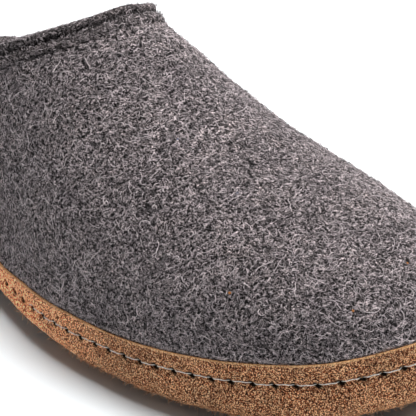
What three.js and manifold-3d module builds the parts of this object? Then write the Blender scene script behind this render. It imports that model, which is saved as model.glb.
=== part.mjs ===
// Wool felt slide slipper, one right shoe, open at the back and standing empty on its sole.
// Millimetres, +Z up, +Y toward the toe, +X toward the outer side of the foot.
// While it is worked out, y = 0 is the back of the heel and z = 0 is the floor. The finished group
// is then moved so that its origin is the middle of its footprint on the floor.
import * as THREE from "three";
import Module from "manifold-3d";
import { mergeVertices } from "three/addons/utils/BufferGeometryUtils.js";

// Driving sizes of the foot shape, measured at the stitched line of the band
const LENGTH = 280; // heel to toe
const BALL_WIDTH = 98; // across the ball of the foot
const HEEL_WIDTH = 67; // across the heel, which is a half circle from above
const INSTEP_HEIGHT = 74; // floor to the felt's ridge at the front of the collar

// Sole, from the floor up
const TREAD_HEIGHT = 1.8; // ribs that stand on the floor
const TREAD_ROUNDING = 0.6; // broken lower edge of the tread
const SOLE_TOP = 6.8; // floor to the face that carries insole and upper
const TREAD_GAP = 0.7; // between the band's tucked edge and the side of the tread
const TOE_SPRING = 1.4; // lift of the toe's underside
const ARCH_LIFT = 1.6; // lift of the waist between heel and ball
const RIB_WIDTH = 5;
const RIB_PITCH = 10.5;
const RIB_SWEEP = 7; // how far the middle of a rib bows toward the toe
const RIB_MARGIN = 3.2; // plain border left round the ribs
const RIB_ROOT = 0.5; // how far a rib is sunk into the tread that it is joined to

// Suede band round the edge
const BAND_THICKNESS = 1.5;
const BAND_GROUND = 3.1; // floor to the tucked edge
const BAND_TUCK = 6.1; // how far the lower edge is turned in below the sole
const BAND_BULGE = 0.4; // how far the rolled side stands out from the stitched line
const BAND_BULGE_AT = 0.55; // where it does, as a share of the stitched line's height
const BAND_LEAN = 0.4; // how far the upper lip leans in over the felt
const BAND_ROLL_IN = 1.6; // where the rolled side has turned under the sole, inside the stitched line
const BAND_ROLL_UP = 0.5; // and how far that is over the tucked edge
const STITCH_HEIGHT = 10.3; // floor to the stitched line along the sides
const STITCH_TOE_RISE = 6.2; // how far that line climbs to the toe
const LIP_HEIGHT = 5.2; // stitched line to the cut top edge along the sides
const LIP_TOE_EXTRA = 1.6; // more of that at the toe

// Felt
const UPPER_WALL = 3.5;
const INSOLE_THICKNESS = 6;
const HEEL_RIM = 3.4; // how far the footbed's heel rim stands above the band
const HEEL_RIM_WIDTH = 6;
const HEEL_RIM_RUN = 18; // length over which it rises behind the upper
const CUP_WIDTH = 15; // outer edge of the footbed to the foot of the slope inside its rim
const CUP_SHOULDER = 0.75; // how much of the rim's height is left at its inner shoulder
const INSOLE_ROUNDING = 1.5; // broken edges of the footbed
const SPRINGING_DROP = 1; // from the band's cut edge down to where the felt wall starts to lean in

// Collar
const COLLAR_FRONT = 153.6; // heel to the front of the opening
const COLLAR_END = 30; // heel to where the collar meets the band on both sides
const BINDING_THICKNESS = 1.1; // felt strip folded over the edge
const BEAD_PROUD = 1.8; // how far its rolled bead stands off the wall
const BEAD_DEPTH = 3.8; // top of the bead to the sewn groove
const BINDING_DEPTH = 7.6; // top of the bead to the strip's lower edge
const BEAD_CROWN = 0.85; // share of BEAD_PROUD that is left where the bead rolls over the top
const GROOVE_LEFT = 0.55; // share of the strip's thickness that is left in the sewn groove
const GROOVE_RUN = 1; // length of the slope on each side of the groove
const STRIP_EDGE = 0.6; // share of the strip's stand-off that is left at its lower edge
const STRIP_OVER_BAND = 0.7; // gap between the strip's ends and the band
const STRIP_RUN_OUT = 0.45; // share of the strip's depth that is left at its ends

const CLEARANCE = 0.3; // between pieces that touch
const FACET_BOW = 0.2; // more of it where flat facets follow the outline's curve

// Outline of the stitched line in front of the heel, round the toe: y as a share of LENGTH,
// x as a share of BALL_WIDTH, outer side first
const OUTLINE = [
  { along: 0.268, across: 0.35 },
  { along: 0.392, across: 0.369 },
  { along: 0.517, across: 0.434 },
  { along: 0.643, across: 0.497 },
  { along: 0.732, across: 0.494 },
  { along: 0.8275, across: 0.451 },
  { along: 0.9075, across: 0.357 },
  { along: 0.967, across: 0.214 },
  { along: 0.994, across: 0.019 },
  { along: 0.997, across: -0.098 },
  { along: 0.9775, across: -0.265 },
  { along: 0.921, across: -0.404 },
  { along: 0.832, across: -0.48 },
  { along: 0.75, across: -0.49 },
  { along: 0.661, across: -0.46 },
  { along: 0.536, across: -0.377 },
  { along: 0.411, across: -0.311 },
  { along: 0.286, across: -0.318 },
];

// The last over the foot: height of the ridge as a share of INSTEP_HEIGHT, its place as a share of
// the half width, and the fullness of each side, where 2 is an ellipse and more is squarer
const LAST = [
  { along: 0.15, height: 1.339, ridge: -0.1, outerFull: 2.18, innerFull: 1.92 },
  { along: 0.3, height: 1.298, ridge: -0.14, outerFull: 2.18, innerFull: 1.92 },
  { along: 0.45, height: 1.177, ridge: -0.18, outerFull: 2.18, innerFull: 1.92 },
  { along: 0.585, height: 0.96, ridge: -0.155, outerFull: 2.26, innerFull: 1.86 },
  { along: 0.66, height: 0.798, ridge: -0.136, outerFull: 2.41, innerFull: 1.92 },
  { along: 0.74, height: 0.692, ridge: -0.115, outerFull: 2.5, innerFull: 1.99 },
  { along: 0.82, height: 0.629, ridge: -0.088, outerFull: 2.4, innerFull: 2.15 },
  { along: 0.9, height: 0.598, ridge: -0.05, outerFull: 2.4, innerFull: 2.3 },
  { along: 1, height: 0.564, ridge: 0, outerFull: 2.4, innerFull: 2.4 },
];
const TOE_CAP_FROM = 0.8; // share of LENGTH where the toe begins to round off
const TOE_CAP_FULLNESS = 2.3;
const COLLAR_POWER = 2.53; // how late the collar turns back along the sides

// Shares of LENGTH between which the underside is flat, arched or sprung
const HEEL_FLAT_TO = 0.27;
const BALL_FLAT_FROM = 0.63;
const BALL_FLAT_TO = 0.76;
const TOE_RISE_FROM = 0.59; // where stitched line and lip begin to climb

// Fineness of the meshes
const RING_POINTS = 72;
const DENSE_POINTS = 720;
const BAND_STEPS = 9;
const LAST_STATIONS = 20;
const LAST_ANGLES = 32;
const ANGLES_TO_ENDS = 0.5; // how much closer together they stand near the band
const BINDING_STATIONS = 40;
const CAP_STEPS = 3;
const RIB_STEPS = 8;

const FELT_GREY = 0x6c6465;
const SUEDE_TAN = 0xaa7350;
const SOLE_DARK = 0x3a3836;

const clampShare = (value) => Math.min(1, Math.max(0, value));
const smooth = (value) => {
  const t = clampShare(value);
  return t * t * (3 - 2 * t);
};
const mix = (a, b, t) => a + (b - a) * t;

// A smooth value between the rows of a table, by one named column.
function fromTable(table, column, along) {
  const last = table.length - 1;
  let i = 0;
  while (i < last - 1 && along > table[i + 1].along) i++;
  const [p0, p1, p2, p3] = [i - 1, i, i + 1, i + 2].map((k) => table[Math.min(last, Math.max(0, k))]);
  const t = clampShare((along - p1.along) / (p2.along - p1.along));
  const slope = (a, b) => (b === a ? 0 : (b[column] - a[column]) / (b.along - a.along));
  const span = p2.along - p1.along;
  const m1 = slope(p0, p2) * span;
  const m2 = slope(p1, p3) * span;
  const t2 = t * t;
  const t3 = t2 * t;
  return (
    (2 * t3 - 3 * t2 + 1) * p1[column] +
    (t3 - 2 * t2 + t) * m1 +
    (3 * t2 - 2 * t3) * p2[column] +
    (t3 - t2) * m2
  );
}

// The stitched line seen from above: a half circle round the heel, then the table.
function outlineCurve() {
  const radius = HEEL_WIDTH / 2;
  const points = [];
  const heelSteps = 8;
  const place = (x, y) => points.push(new THREE.Vector3(x, y, 0));
  for (let i = heelSteps / 2; i <= heelSteps; i++) {
    const turn = (Math.PI * i) / heelSteps;
    place(-radius * Math.cos(turn), radius * (1 - Math.sin(turn)));
  }
  for (const row of OUTLINE) place(row.across * BALL_WIDTH, row.along * LENGTH);
  for (let i = 0; i < heelSteps / 2; i++) {
    const turn = (Math.PI * i) / heelSteps;
    place(-radius * Math.cos(turn), radius * (1 - Math.sin(turn)));
  }
  const curve = new THREE.CatmullRomCurve3(points, true, "centripetal");
  curve.arcLengthDivisions = DENSE_POINTS;
  return curve;
}

const edge = outlineCurve();

// Points of the outline with their outward directions. They start half a step past the back of the
// heel, so that point i on the outer side faces point count - 1 - i on the inner side.
function edgePoints(count, more = []) {
  const shares = more.slice();
  for (let i = 0; i < count; i++) shares.push((i + 0.5) / count);
  shares.sort((a, b) => a - b);
  return shares.map((share) => {
    const run = edge.getTangentAt(share);
    return { at: edge.getPointAt(share), out: new THREE.Vector3(run.y, -run.x, 0).normalize() };
  });
}

const ring = edgePoints(RING_POINTS);
const dense = edgePoints(DENSE_POINTS);

// Height of the underside over the floor, toe spring and arch.
function underside(y) {
  const along = y / LENGTH;
  const arch = clampShare((along - HEEL_FLAT_TO) / (BALL_FLAT_FROM - HEEL_FLAT_TO));
  const toe = clampShare((along - BALL_FLAT_TO) / (1 - BALL_FLAT_TO));
  return ARCH_LIFT * Math.sin(Math.PI * arch) ** 2 + TOE_SPRING * toe * toe;
}

// How much of the toe's extra band height a place has.
function toeShare(y) {
  const t = clampShare((y / LENGTH - TOE_RISE_FROM) / (1 - TOE_RISE_FROM));
  return (smooth(t) + t * t) / 2;
}

const stitchLine = (y) => STITCH_HEIGHT + STITCH_TOE_RISE * toeShare(y);
const lipTop = (y) => stitchLine(y) + LIP_HEIGHT + LIP_TOE_EXTRA * toeShare(y);

// Where the outline passes a y near the heel, on the outer side and on the inner side.
function sharesAt(y) {
  const half = dense.length / 2;
  const outer = dense.findIndex(({ at }) => at.y > y);
  const inner = dense.findIndex(({ at }, i) => i > half && at.y < y);
  return [outer, inner].map((i) => (i + 0.5) / dense.length);
}

// A closed loop round the shoe, moved in from the stitched line. inset and height may be functions.
function loopAround(inset, height, points = ring) {
  return points.map(({ at, out }) => {
    const move = typeof inset === "function" ? inset(at.y) : inset;
    const p = at.clone().addScaledVector(out, -move);
    p.z = height(p.y, p.x);
    return p;
  });
}

// A point outward from the outline by x, at height z.
function across(at, out, x, z) {
  const p = at.clone().addScaledVector(out, x);
  p.z = z;
  return p;
}

// Collects the triangles of one closed body.
class Body {
  constructor() {
    this.corners = [];
  }

  triangle(a, b, c) {
    const same = 1e-6;
    if (a.distanceTo(b) < same || b.distanceTo(c) < same || a.distanceTo(c) < same) return;
    this.corners.push(a, b, c);
  }

  // Two triangles, split along the shorter diagonal, which follows a curved skin more closely.
  quad(a, b, c, d) {
    if (a.distanceTo(c) <= b.distanceTo(d)) {
      this.triangle(a, b, c);
      this.triangle(a, c, d);
    } else {
      this.triangle(a, b, d);
      this.triangle(b, c, d);
    }
  }

  // Walls between loops of equal count, from the first to the last.
  wall(loops) {
    for (let k = 0; k + 1 < loops.length; k++) this.band(loops[k], loops[k + 1]);
  }

  band(lower, upper) {
    const count = lower.length;
    for (let i = 0; i < count; i++) {
      const next = (i + 1) % count;
      this.quad(lower[i], lower[next], upper[next], upper[i]);
    }
  }

  // Closes a loop with rungs from point i to point count - 1 - i. Rungs inside the loop are split
  // into so many steps, whose heights may follow a function.
  cap(loop, steps, height, facesUp) {
    const rungs = loop.length / 2;
    const rung = (i) => {
      const from = loop[i];
      const to = loop[loop.length - 1 - i];
      const parts = i === 0 || i === rungs - 1 ? 1 : steps;
      const points = [];
      for (let s = 0; s <= parts; s++) {
        const p = from.clone().lerp(to, s / parts);
        if (height && s > 0 && s < parts) p.z = height(p.y, p.x);
        points.push(p);
      }
      return points;
    };
    for (let i = 0; i + 1 < rungs; i++) {
      if (facesUp) this.strip(rung(i), rung(i + 1));
      else this.strip(rung(i).reverse(), rung(i + 1).reverse());
    }
  }

  // Fills between two rows of points, one of which may have only its two ends.
  strip(near, far) {
    const steps = Math.max(near.length, far.length) - 1;
    const pick = (row, s) => row[Math.round((s / steps) * (row.length - 1))];
    for (let s = 0; s < steps; s++) {
      this.quad(pick(near, s), pick(far, s), pick(far, s + 1), pick(near, s + 1));
    }
  }

  geometry() {
    const positions = new Float32Array(this.corners.length * 3);
    this.corners.forEach((p, i) => p.toArray(positions, i * 3));
    const made = new THREE.BufferGeometry();
    made.setAttribute("position", new THREE.BufferAttribute(positions, 3));
    return made;
  }
}

const wasm = await Module();
wasm.setup();

function toSolid(geometry) {
  const welded = mergeVertices(geometry, 1e-4);
  return new wasm.Manifold(
    new wasm.Mesh({
      numProp: 3,
      vertProperties: welded.attributes.position.array,
      triVerts: new Uint32Array(welded.index.array),
    }),
  );
}

function toGeometry(solid) {
  const mesh = solid.getMesh();
  const made = new THREE.BufferGeometry();
  made.setAttribute("position", new THREE.BufferAttribute(new Float32Array(mesh.vertProperties), 3));
  made.setIndex(new THREE.BufferAttribute(new Uint32Array(mesh.triVerts), 1));
  return made.toNonIndexed();
}

function named(name, geometry, color, roughness) {
  geometry.computeVertexNormals();
  const mesh = new THREE.Mesh(
    geometry,
    new THREE.MeshStandardMaterial({ color, roughness, metalness: 0 }),
  );
  mesh.name = name;
  return mesh;
}

// An inset outline's toe tip, its back, and its x on the outer and the inner side at any y.
function sides(inset) {
  const moved = dense.map(({ at, out }) => at.clone().addScaledVector(out, -inset));
  let tip = 0;
  moved.forEach((p, i) => {
    if (p.y > moved[tip].y) tip = i;
  });
  const outer = moved.slice(0, tip + 1);
  const inner = moved.slice(tip).reverse();
  const xAt = (side, y) => {
    let low = 0;
    let high = side.length - 1;
    while (high - low > 1) {
      const middle = (low + high) >> 1;
      if (side[middle].y <= y) low = middle;
      else high = middle;
    }
    const t = clampShare((y - side[low].y) / (side[high].y - side[low].y));
    return mix(side[low].x, side[high].x, t);
  };
  return {
    tip: moved[tip],
    back: moved[0].y,
    outer: (y) => xAt(outer, y),
    inner: (y) => xAt(inner, y),
  };
}

// The felt wall's outside stands just inside the band's lip.
const FEATHER_INSET = BAND_THICKNESS + BAND_LEAN + CLEARANCE + FACET_BOW;
const feather = sides(FEATHER_INSET);
const feltFoot = (y) => underside(y) + SOLE_TOP + CLEARANCE;
const feltSpringing = (y) => lipTop(y) - SPRINGING_DROP;

// Height of the last's ridge over the floor, rounding off at the toe.
function ridgeHeight(y) {
  const along = y / LENGTH;
  const full = INSTEP_HEIGHT * fromTable(LAST, "height", along);
  const from = TOE_CAP_FROM * LENGTH;
  const t = clampShare((y - from) / (feather.tip.y - from));
  const round = (1 - t ** TOE_CAP_FULLNESS) ** (1 / TOE_CAP_FULLNESS);
  const base = feltSpringing(y);
  return base + (full - base) * round;
}

// One section of the last at y.
function section(y) {
  const along = y / LENGTH;
  const outer = feather.outer(y);
  const inner = feather.inner(y);
  const halfWidth = (outer - inner) / 2;
  const ridge = (outer + inner) / 2 + fromTable(LAST, "ridge", along) * halfWidth;
  return {
    ridge,
    outerWidth: outer - ridge,
    innerWidth: ridge - inner,
    base: feltSpringing(y),
    rise: ridgeHeight(y) - feltSpringing(y),
    outerFull: fromTable(LAST, "outerFull", along),
    innerFull: fromTable(LAST, "innerFull", along),
  };
}

// A point on the outside of the felt. angle runs from 0 on the outer side, over the ridge at a
// quarter turn, to a half turn on the inner side.
function skinPoint(y, angle) {
  const s = section(y);
  const c = Math.cos(angle);
  const h = Math.sin(angle);
  const full = c >= 0 ? s.outerFull : s.innerFull;
  const width = c >= 0 ? s.outerWidth : s.innerWidth;
  const reach = (Math.abs(c) ** full + Math.abs(h) ** full) ** (-1 / full);
  return new THREE.Vector3(s.ridge + width * c * reach, y, s.base + s.rise * h * reach);
}

// How far a place is inside or outside the section at its y, 1 on the skin.
function fill(p) {
  const s = section(p.y);
  const width = p.x >= s.ridge ? s.outerWidth : s.innerWidth;
  const across = Math.abs(p.x - s.ridge) / Math.max(width, 1e-3);
  const up = Math.max(0, p.z - s.base) / Math.max(s.rise, 1e-3);
  const full = p.x >= s.ridge ? s.outerFull : s.innerFull;
  return (across ** full + up ** full) ** (1 / full);
}

// Direction out of the felt at a point of its skin.
function skinNormal(p) {
  const step = 0.05;
  const slope = (axis) => {
    const more = p.clone();
    const less = p.clone();
    more[axis] += step;
    less[axis] -= step;
    return (fill(more) - fill(less)) / (2 * step);
  };
  const n = new THREE.Vector3(slope("x"), slope("y"), slope("z"));
  if (p.z - section(p.y).base < step) n.z = 0;
  return n.normalize();
}

// The collar's edge: y where the opening begins, for an angle round the section.
function collarAt(angle) {
  const turn = Math.abs(angle - Math.PI / 2) / (Math.PI / 2);
  return mix(COLLAR_FRONT, COLLAR_END, turn ** COLLAR_POWER);
}

// The felt upper: one wall over the foot, open at the back and underneath.
function upperLoop(k) {
  const tip = feather.tip;
  const outside = [];
  const inside = [];
  const share = Math.sin((k / LAST_STATIONS) * (Math.PI / 2));
  const atTip = k === LAST_STATIONS;
  for (let j = 0; j <= LAST_ANGLES; j++) {
    const around = j / LAST_ANGLES;
    const closer = (ANGLES_TO_ENDS * Math.sin(2 * Math.PI * around)) / (2 * Math.PI);
    const angle = Math.PI * (around - closer);
    const y = mix(collarAt(angle), tip.y, share);
    const p = atTip ? new THREE.Vector3(tip.x, tip.y, feltSpringing(tip.y)) : skinPoint(y, angle);
    const n = atTip ? new THREE.Vector3(0, 1, 0) : skinNormal(p);
    outside.push(p);
    inside.push(p.clone().addScaledVector(n, -UPPER_WALL));
  }
  const foot = (p) => new THREE.Vector3(p.x, p.y, feltFoot(p.y));
  return [
    foot(outside[0]),
    ...outside,
    foot(outside.at(-1)),
    foot(inside.at(-1)),
    ...inside.reverse(),
    foot(inside.at(-1)),
  ];
}

function makeUpper() {
  const body = new Body();
  const loops = [];
  for (let k = LAST_STATIONS; k >= 0; k--) loops.push(upperLoop(k));
  body.wall(loops);
  body.cap(loops.at(-1), 1, null, true);
  return named("upper", body.geometry(), FELT_GREY, 1);
}

// The folded strip round the collar. Its section is a channel over the felt's edge: how far each
// point lies below the edge, and how far off the felt's outside (plus) or inside (minus).
function bindingSection() {
  const flat = CLEARANCE + BINDING_THICKNESS;
  const groove = BEAD_DEPTH - flat;
  const foot = BINDING_DEPTH - flat;
  const outer = [
    { down: foot, off: flat * STRIP_EDGE },
    { down: foot - GROOVE_RUN, off: flat },
    { down: groove + GROOVE_RUN, off: flat },
    { down: groove, off: CLEARANCE + BINDING_THICKNESS * GROOVE_LEFT },
    { down: groove - GROOVE_RUN, off: BEAD_PROUD },
    { down: -CLEARANCE, off: BEAD_PROUD * BEAD_CROWN },
  ];
  const under = [
    { down: -CLEARANCE, off: CLEARANCE },
    { down: groove, off: CLEARANCE },
    { down: foot, off: CLEARANCE },
  ];
  return { outer, under, top: -flat };
}

function bindingLoop(angle) {
  const step = 0.01;
  const edgeAt = (a) => skinPoint(collarAt(a), a);
  const at = edgeAt(angle);
  const run = edgeAt(angle + step).sub(edgeAt(angle - step)).normalize();
  const out = skinNormal(at);
  const down = run.clone().cross(out).normalize();
  if (down.y < 0) down.negate();
  // near the band the strip narrows into the room that is left under the edge
  const room = (at.z - lipTop(at.y) - STRIP_OVER_BAND) / BINDING_DEPTH;
  const narrow = THREE.MathUtils.clamp(room, STRIP_RUN_OUT, 1);
  const place = (drop, off) => {
    const fitted = drop > 0 ? drop * narrow : drop;
    const onSkin = settle(at.clone().addScaledVector(down, fitted));
    const n = skinNormal(onSkin);
    return onSkin.addScaledVector(n, off);
  };
  const { outer, under, top } = bindingSection();
  const mirror = (off) => -UPPER_WALL - off;
  const outside = outer.map((p) => place(p.down, p.off));
  const inside = outer.map((p) => place(p.down, mirror(p.off)));
  const crown = place(top, -UPPER_WALL / 2);
  const channelOut = under.map((p) => place(p.down, p.off));
  const channelIn = under.map((p) => place(p.down, mirror(p.off)));
  const throat = place(-CLEARANCE, -UPPER_WALL / 2);
  return [...outside, crown, ...inside.reverse(), ...channelIn.reverse(), throat, ...channelOut];
}

// Moves a point back to the felt's outside along the section's own direction.
function settle(p) {
  const s = section(p.y);
  const width = p.x >= s.ridge ? s.outerWidth : s.innerWidth;
  const angle = Math.atan2(Math.max(0, p.z - s.base) / s.rise, (p.x - s.ridge) / width);
  return skinPoint(p.y, angle);
}

// The lowest angle at which the whole strip is still above the band.
function bindingStart() {
  const step = 0.005;
  const lowest = (a) => Math.min(...bindingLoop(a).map((p) => p.z - lipTop(p.y)));
  let angle = 0;
  while (lowest(angle) < STRIP_OVER_BAND && angle < 1) angle += step;
  return angle;
}

function makeBinding() {
  const start = bindingStart();
  const body = new Body();
  const loops = [];
  for (let k = 0; k <= BINDING_STATIONS; k++) {
    loops.push(bindingLoop(mix(Math.PI - start, start, k / BINDING_STATIONS)));
  }
  body.wall(loops);
  channelCap(body, loops[0], true);
  channelCap(body, loops.at(-1), false);
  return named("collar_binding", body.geometry(), FELT_GREY, 1);
}

// Closes an end of the channel: a strip between its outer points and its inner ones.
function channelCap(body, loop, first) {
  const { outer, under } = bindingSection();
  const outsideCount = outer.length * 2 + 1;
  const outside = loop.slice(0, outsideCount);
  const channel = loop.slice(outsideCount).reverse();
  const pairs = outsideCount - 1;
  for (let i = 0; i < pairs; i++) {
    const c0 = channel[Math.round((i / pairs) * (under.length * 2))];
    const c1 = channel[Math.round(((i + 1) / pairs) * (under.length * 2))];
    if (first) body.quad(outside[i + 1], outside[i], c0, c1);
    else body.quad(outside[i], outside[i + 1], c1, c0);
  }
}

// The band's outside at y, in the plane across the edge: x outward from the stitched line, y up.
// It runs from the cut top edge (share 0) down the rolled side and under the sole (share 1).
function bandOutside(y) {
  const floor = underside(y);
  const stitch = stitchLine(y);
  const tall = stitch - floor;
  return new THREE.SplineCurve([
    new THREE.Vector2(-BAND_LEAN, lipTop(y)),
    new THREE.Vector2(0, stitch),
    new THREE.Vector2(BAND_BULGE, floor + tall * BAND_BULGE_AT),
    new THREE.Vector2(-BAND_ROLL_IN, floor + BAND_GROUND + BAND_ROLL_UP),
    new THREE.Vector2(-BAND_TUCK, floor + BAND_GROUND),
  ]);
}

// A point so deep under the band's outside.
function underBand(curve, share, depth) {
  const p = curve.getPoint(share);
  const run = curve.getTangent(share);
  return new THREE.Vector2(p.x + run.y * depth, p.y - run.x * depth);
}

// The band is closed in both directions: round the shoe, and round its own section.
function makeBand() {
  const loops = ring.map(({ at, out }) => {
    const curve = bandOutside(at.y);
    const loop = [];
    for (let i = 0; i <= BAND_STEPS; i++) loop.push(underBand(curve, i / BAND_STEPS, 0));
    for (let i = BAND_STEPS; i >= 0; i--) {
      loop.push(underBand(curve, i / BAND_STEPS, BAND_THICKNESS));
    }
    return loop.map((q) => across(at, out, q.x, q.y));
  });
  const body = new Body();
  body.wall([...loops, loops[0]]);
  return named("band", body.geometry(), SUEDE_TAN, 0.9);
}

// The sole: a tread inside the tucked band, and over it a wider layer that fills the band.
function makeSole() {
  const at = (height) => (y) => underside(y) + height;
  const depth = BAND_THICKNESS + CLEARANCE;
  const inset = BAND_TUCK + TREAD_GAP;
  const step = (y) => underside(y) + BAND_GROUND + depth;
  const loops = [
    loopAround(inset + TREAD_ROUNDING, at(TREAD_HEIGHT)),
    loopAround(inset, at(TREAD_HEIGHT + TREAD_ROUNDING)),
    loopAround(inset, step),
  ];
  const rolled = Math.ceil(BAND_STEPS / 2);
  for (let i = BAND_STEPS; i >= rolled; i--) {
    loops.push(
      ring.map((place) => {
        const q = underBand(bandOutside(place.at.y), i / BAND_STEPS, depth);
        return across(place.at, place.out, q.x, q.y);
      }),
    );
  }
  const rim = ring.map((place) => {
    const top = underside(place.at.y) + SOLE_TOP;
    return across(place.at, place.out, -depth - BAND_LEAN, top);
  });
  loops.push(rim);
  const body = new Body();
  body.wall(loops);
  body.cap(loops[0], CAP_STEPS, at(TREAD_HEIGHT), false);
  body.cap(loops.at(-1), CAP_STEPS, at(SOLE_TOP), true);
  let solid = toSolid(body.geometry());
  for (const one of ribs()) solid = solid.add(toSolid(one.geometry()));
  return named("sole", toGeometry(solid), SOLE_DARK, 0.8);
}

// Bowed ribs across the tread, under heel and forefoot.
function ribs() {
  const border = sides(BAND_TUCK + TREAD_GAP + RIB_MARGIN);
  const made = [];
  const spans = [
    { from: border.back + RIB_WIDTH, to: HEEL_FLAT_TO * LENGTH },
    { from: BALL_FLAT_FROM * LENGTH, to: border.tip.y - RIB_SWEEP - RIB_WIDTH },
  ];
  for (const span of spans) {
    for (let y = span.from; y + RIB_WIDTH <= span.to; y += RIB_PITCH) {
      made.push(rib(border, y));
    }
  }
  return made;
}

function rib(border, y) {
  const body = new Body();
  const loops = [];
  const deep = TREAD_HEIGHT + RIB_ROOT;
  for (let s = 0; s <= RIB_STEPS; s++) {
    const share = s / RIB_STEPS;
    const bow = RIB_SWEEP * (1 - (2 * share - 1) ** 2);
    const x = mix(border.inner(y), border.outer(y), share);
    const corner = (dy, height) =>
      new THREE.Vector3(x, y + bow + dy, underside(y + bow + dy) + height);
    loops.push([corner(0, 0), corner(RIB_WIDTH, 0), corner(RIB_WIDTH, deep), corner(0, deep)]);
  }
  body.wall(loops);
  body.cap(loops[0], 1, null, false);
  body.cap(loops.at(-1), 1, null, true);
  return body;
}

// The felt footbed: flat under the foot, with a cupped rim round the open heel.
function makeInsole() {
  const low = FEATHER_INSET + UPPER_WALL + CLEARANCE + FACET_BOW * 2;
  const wide = FEATHER_INSET;
  const widens = COLLAR_END - CLEARANCE - FACET_BOW * 2;
  const widened = widens - (low - wide);
  const inset = (y) => mix(wide, low, clampShare((y - widened) / (widens - widened)));
  const points = edgePoints(RING_POINTS, [...sharesAt(widens), ...sharesAt(widened)]);
  const top = (y) => feltFoot(y) + INSOLE_THICKNESS;
  const raised = (y) => smooth((widened - y) / HEEL_RIM_RUN);
  const rim = (y) => mix(top(y), lipTop(y) + HEEL_RIM, raised(y));
  const loop = (extra, height) => loopAround((y) => inset(y) + extra, height, points);
  const loops = [
    loop(INSOLE_ROUNDING, feltFoot),
    loop(0, (y) => feltFoot(y) + INSOLE_ROUNDING),
    loop(0, (y) => rim(y) - INSOLE_ROUNDING),
    loop(INSOLE_ROUNDING, rim),
    loop(HEEL_RIM_WIDTH, (y) => mix(top(y), rim(y), CUP_SHOULDER)),
    loop(CUP_WIDTH, top),
  ];
  const body = new Body();
  body.wall(loops);
  body.cap(loops[0], CAP_STEPS, feltFoot, false);
  body.cap(loops.at(-1), CAP_STEPS, top, true);
  return named("insole", body.geometry(), FELT_GREY, 1);
}

const shoe = new THREE.Group();
shoe.add(makeSole(), makeInsole(), makeBand(), makeUpper(), makeBinding());
const box = new THREE.Box3().setFromObject(shoe);
const middle = box.getCenter(new THREE.Vector3());
shoe.position.set(-middle.x, -middle.y, -box.min.z);

export default shoe;
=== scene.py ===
"""Looks of the wool felt slide slipper: felt with loose fibres, suede band with hand stitches,
footbed and sole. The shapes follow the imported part, from the same named sizes in millimetres."""

import math

import bpy
import numpy as np
from mathutils import Matrix, Vector


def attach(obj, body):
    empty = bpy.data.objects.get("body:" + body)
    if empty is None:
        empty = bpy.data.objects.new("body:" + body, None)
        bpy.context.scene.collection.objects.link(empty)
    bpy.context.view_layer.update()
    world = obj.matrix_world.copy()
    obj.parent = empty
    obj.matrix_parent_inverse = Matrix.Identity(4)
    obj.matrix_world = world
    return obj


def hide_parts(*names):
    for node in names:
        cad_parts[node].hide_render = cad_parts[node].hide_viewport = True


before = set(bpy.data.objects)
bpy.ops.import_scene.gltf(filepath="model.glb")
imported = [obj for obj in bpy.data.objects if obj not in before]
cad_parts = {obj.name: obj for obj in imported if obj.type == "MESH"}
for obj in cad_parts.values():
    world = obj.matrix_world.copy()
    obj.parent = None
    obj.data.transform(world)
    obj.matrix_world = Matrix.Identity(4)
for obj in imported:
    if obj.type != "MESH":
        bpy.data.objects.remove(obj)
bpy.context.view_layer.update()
SCENE = bpy.context.scene

# Sizes of the part, in millimetres. Here y = 0 is the back of the heel and z = 0 the floor.
LENGTH = 280
BALL_WIDTH = 98
HEEL_WIDTH = 67
INSTEP_HEIGHT = 74
SOLE_TOP = 6.8
TOE_SPRING = 1.4
ARCH_LIFT = 1.6
BAND_THICKNESS = 1.5
BAND_GROUND = 3.1
BAND_TUCK = 6.1
BAND_BULGE = 0.4
BAND_BULGE_AT = 0.55
BAND_LEAN = 0.4
BAND_ROLL_IN = 1.6
BAND_ROLL_UP = 0.5
STITCH_HEIGHT = 10.3
STITCH_TOE_RISE = 6.2
LIP_HEIGHT = 5.2
LIP_TOE_EXTRA = 1.6
UPPER_WALL = 3.5
INSOLE_THICKNESS = 6
HEEL_RIM = 3.4
HEEL_RIM_WIDTH = 6
HEEL_RIM_RUN = 18
CUP_WIDTH = 15
CUP_SHOULDER = 0.75
INSOLE_ROUNDING = 1.5
SPRINGING_DROP = 1
COLLAR_FRONT = 153.6
COLLAR_END = 30
BINDING_THICKNESS = 1.1
BEAD_DEPTH = 3.8
BINDING_DEPTH = 7.6
STRIP_OVER_BAND = 0.7
STRIP_RUN_OUT = 0.45
CLEARANCE = 0.3
FACET_BOW = 0.2
HEEL_FLAT_TO = 0.27
BALL_FLAT_FROM = 0.63
BALL_FLAT_TO = 0.76
TOE_RISE_FROM = 0.59
TOE_CAP_FROM = 0.8
TOE_CAP_FULLNESS = 2.3
COLLAR_POWER = 2.53

# Stitched line round the front: share of LENGTH, share of BALL_WIDTH, outer side first
OUTLINE = [
    (0.268, 0.35), (0.392, 0.369), (0.517, 0.434), (0.643, 0.497), (0.732, 0.494), (0.8275, 0.451),
    (0.9075, 0.357), (0.967, 0.214), (0.994, 0.019), (0.997, -0.098), (0.9775, -0.265),
    (0.921, -0.404), (0.832, -0.48), (0.75, -0.49), (0.661, -0.46), (0.536, -0.377),
    (0.411, -0.311), (0.286, -0.318),
]
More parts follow.
